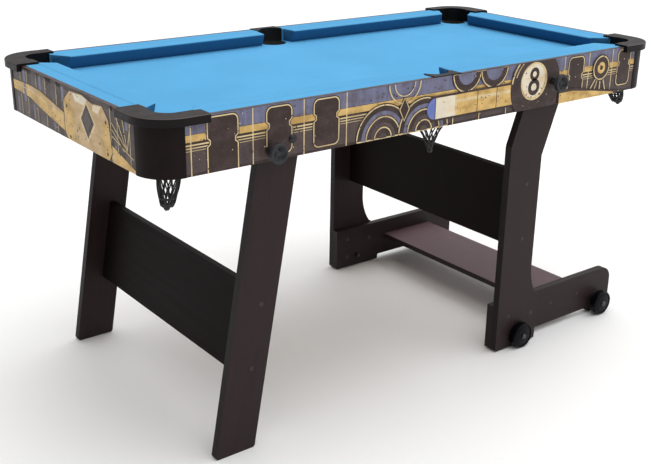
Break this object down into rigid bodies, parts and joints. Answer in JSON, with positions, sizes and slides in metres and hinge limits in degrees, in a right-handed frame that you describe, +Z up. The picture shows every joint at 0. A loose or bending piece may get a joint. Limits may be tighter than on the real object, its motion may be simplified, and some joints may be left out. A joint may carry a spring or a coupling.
{
  "type": "folding mini pool table",
  "caption": "Home-size pool table with a blue cloth bed, netted pockets, printed dark aprons and a fold-away frame on wheels.",
  "frame": {"origin": "on the floor, under the middle of the table top", "axes": "+X along the table from the folding leg frame towards the rolling base, +Y across the table, +Z up"},
  "size_m": [1.532, 0.828, 0.79],
  "materials": {
    "fibreboard": "raw medium-density fibreboard",
    "cloth": "napped bright blue table cloth",
    "apron_print": "fibreboard with a satin printed laminate on dark brown",
    "rail_wrap": "wooden strip wrapped in the blue cloth",
    "cushion_rubber": "rubber profile covered with the blue cloth",
    "cap_moulding": "charcoal moulded plastic, fine texture",
    "skirt_moulding": "near-black moulded plastic",
    "net_cord": "black knotted cord net",
    "batten_wood": "raw pine",
    "leg_laminate": "dark wenge laminate on particle board",
    "crossbar_laminate": "near-black wenge laminate",
    "shelf_laminate": "greyish brown laminate",
    "wheel_plastic": "black moulded plastic",
    "knob_plastic": "dark grey moulded plastic",
    "housing_plastic": "dark grey moulded plastic",
    "collar_plastic": "black nylon",
    "zinc_steel": "zinc plated",
    "dark_steel": "black oxide",
    "screw_steel": "zinc plated"
  },
  "bodies": {
    "base": {"axle_collars": "collar_plastic", "base_crossbar": "crossbar_laminate", "base_foot_back": "leg_laminate", "base_foot_front": "leg_laminate", "base_screws": "screw_steel", "base_shelf": "shelf_laminate", "base_upright_back": "leg_laminate", "base_upright_front": "leg_laminate", "wheel_axles": "dark_steel"},
    "table_top": {"apron_back": "apron_print", "apron_end_left": "apron_print", "apron_end_right": "apron_print", "apron_front": "apron_print", "batten_screws": "screw_steel", "bed_board": "fibreboard", "bed_cloth": "cloth", "corner_cap_back_left": "cap_moulding", "corner_cap_back_right": "cap_moulding", "corner_cap_front_left": "cap_moulding", "corner_cap_front_right": "cap_moulding", "corner_skirts": "skirt_moulding", "cross_battens": "batten_wood", "cushion_back_left": "cushion_rubber", "cushion_back_right": "cushion_rubber", "cushion_end_left": "cushion_rubber", "cushion_end_right": "cushion_rubber", "cushion_front_left": "cushion_rubber", "cushion_front_right": "cushion_rubber", "lock_housings": "housing_plastic", "lock_springs": "zinc_steel", "middle_pocket_back": "cap_moulding", "middle_pocket_front": "cap_moulding", "nets_left": "net_cord", "nets_middle": "net_cord", "nets_right": "net_cord", "pivot_bolts": "dark_steel", "pivot_nuts": "dark_steel", "pivot_washers": "dark_steel", "rail_back_left": "rail_wrap", "rail_back_right": "rail_wrap", "rail_end_left": "rail_wrap", "rail_end_right": "rail_wrap", "rail_front_left": "rail_wrap", "rail_front_right": "rail_wrap"},
    "fold_frame": {"fold_crossbar": "crossbar_laminate", "fold_frame_screws": "screw_steel", "fold_leg_back": "leg_laminate", "fold_leg_front": "leg_laminate"},
    "lock_front_left": {"lock_knob_front_left": "knob_plastic", "lock_pin_front_left": "zinc_steel"},
    "lock_front_right": {"lock_knob_front_right": "knob_plastic", "lock_pin_front_right": "zinc_steel"},
    "lock_back_left": {"lock_knob_back_left": "knob_plastic", "lock_pin_back_left": "zinc_steel"},
    "lock_back_right": {"lock_knob_back_right": "knob_plastic", "lock_pin_back_right": "zinc_steel"},
    "wheel_heel_front_spin": {"wheel_heel_front": "wheel_plastic"},
    "wheel_heel_back_spin": {"wheel_heel_back": "wheel_plastic"},
    "wheel_toe_front_spin": {"wheel_toe_front": "wheel_plastic"},
    "wheel_toe_back_spin": {"wheel_toe_back": "wheel_plastic"}
  },
  "joints": [
    {"name": "top_tilt", "type": "hinge", "parent": "base", "child": "table_top", "pos_m": [0.404, 0, 0.702], "axis": [0, 1, 0], "range_deg": [0, 90], "deforming": ["nets_right"]},
    {"name": "leg_fold", "type": "hinge", "parent": "table_top", "child": "fold_frame", "pos_m": [-0.433, 0, 0.706], "axis": [0, -1, 0], "range_deg": [0, 79]},
    {"name": "lock_front_left_pull", "type": "slide", "parent": "table_top", "child": "lock_front_left", "axis": [0, -1, 0], "range_m": [0, 0.01], "stiffness_N_per_m": 700, "springref_m": -0.006, "deforming": ["lock_springs"]},
    {"name": "lock_front_right_pull", "type": "slide", "parent": "table_top", "child": "lock_front_right", "axis": [0, -1, 0], "range_m": [0, 0.01], "stiffness_N_per_m": 700, "springref_m": -0.006},
    {"name": "lock_back_left_pull", "type": "slide", "parent": "table_top", "child": "lock_back_left", "axis": [0, 1, 0], "range_m": [0, 0.01], "stiffness_N_per_m": 700, "springref_m": -0.006},
    {"name": "lock_back_right_pull", "type": "slide", "parent": "table_top", "child": "lock_back_right", "axis": [0, 1, 0], "range_m": [0, 0.01], "stiffness_N_per_m": 700, "springref_m": -0.006},
    {"name": "wheel_heel_front_roll", "type": "hinge", "parent": "base", "child": "wheel_heel_front_spin", "pos_m": [0.327, -0.3795, 0.035], "axis": [0, 1, 0], "continuous": true},
    {"name": "wheel_heel_back_roll", "type": "hinge", "parent": "base", "child": "wheel_heel_back_spin", "pos_m": [0.327, 0.3795, 0.035], "axis": [0, 1, 0], "continuous": true},
    {"name": "wheel_toe_front_roll", "type": "hinge", "parent": "base", "child": "wheel_toe_front_spin", "pos_m": [0.674, -0.3695, 0.035], "axis": [0, 1, 0], "continuous": true},
    {"name": "wheel_toe_back_roll", "type": "hinge", "parent": "base", "child": "wheel_toe_back_spin", "pos_m": [0.674, 0.3695, 0.035], "axis": [0, 1, 0], "continuous": true}
  ]
}
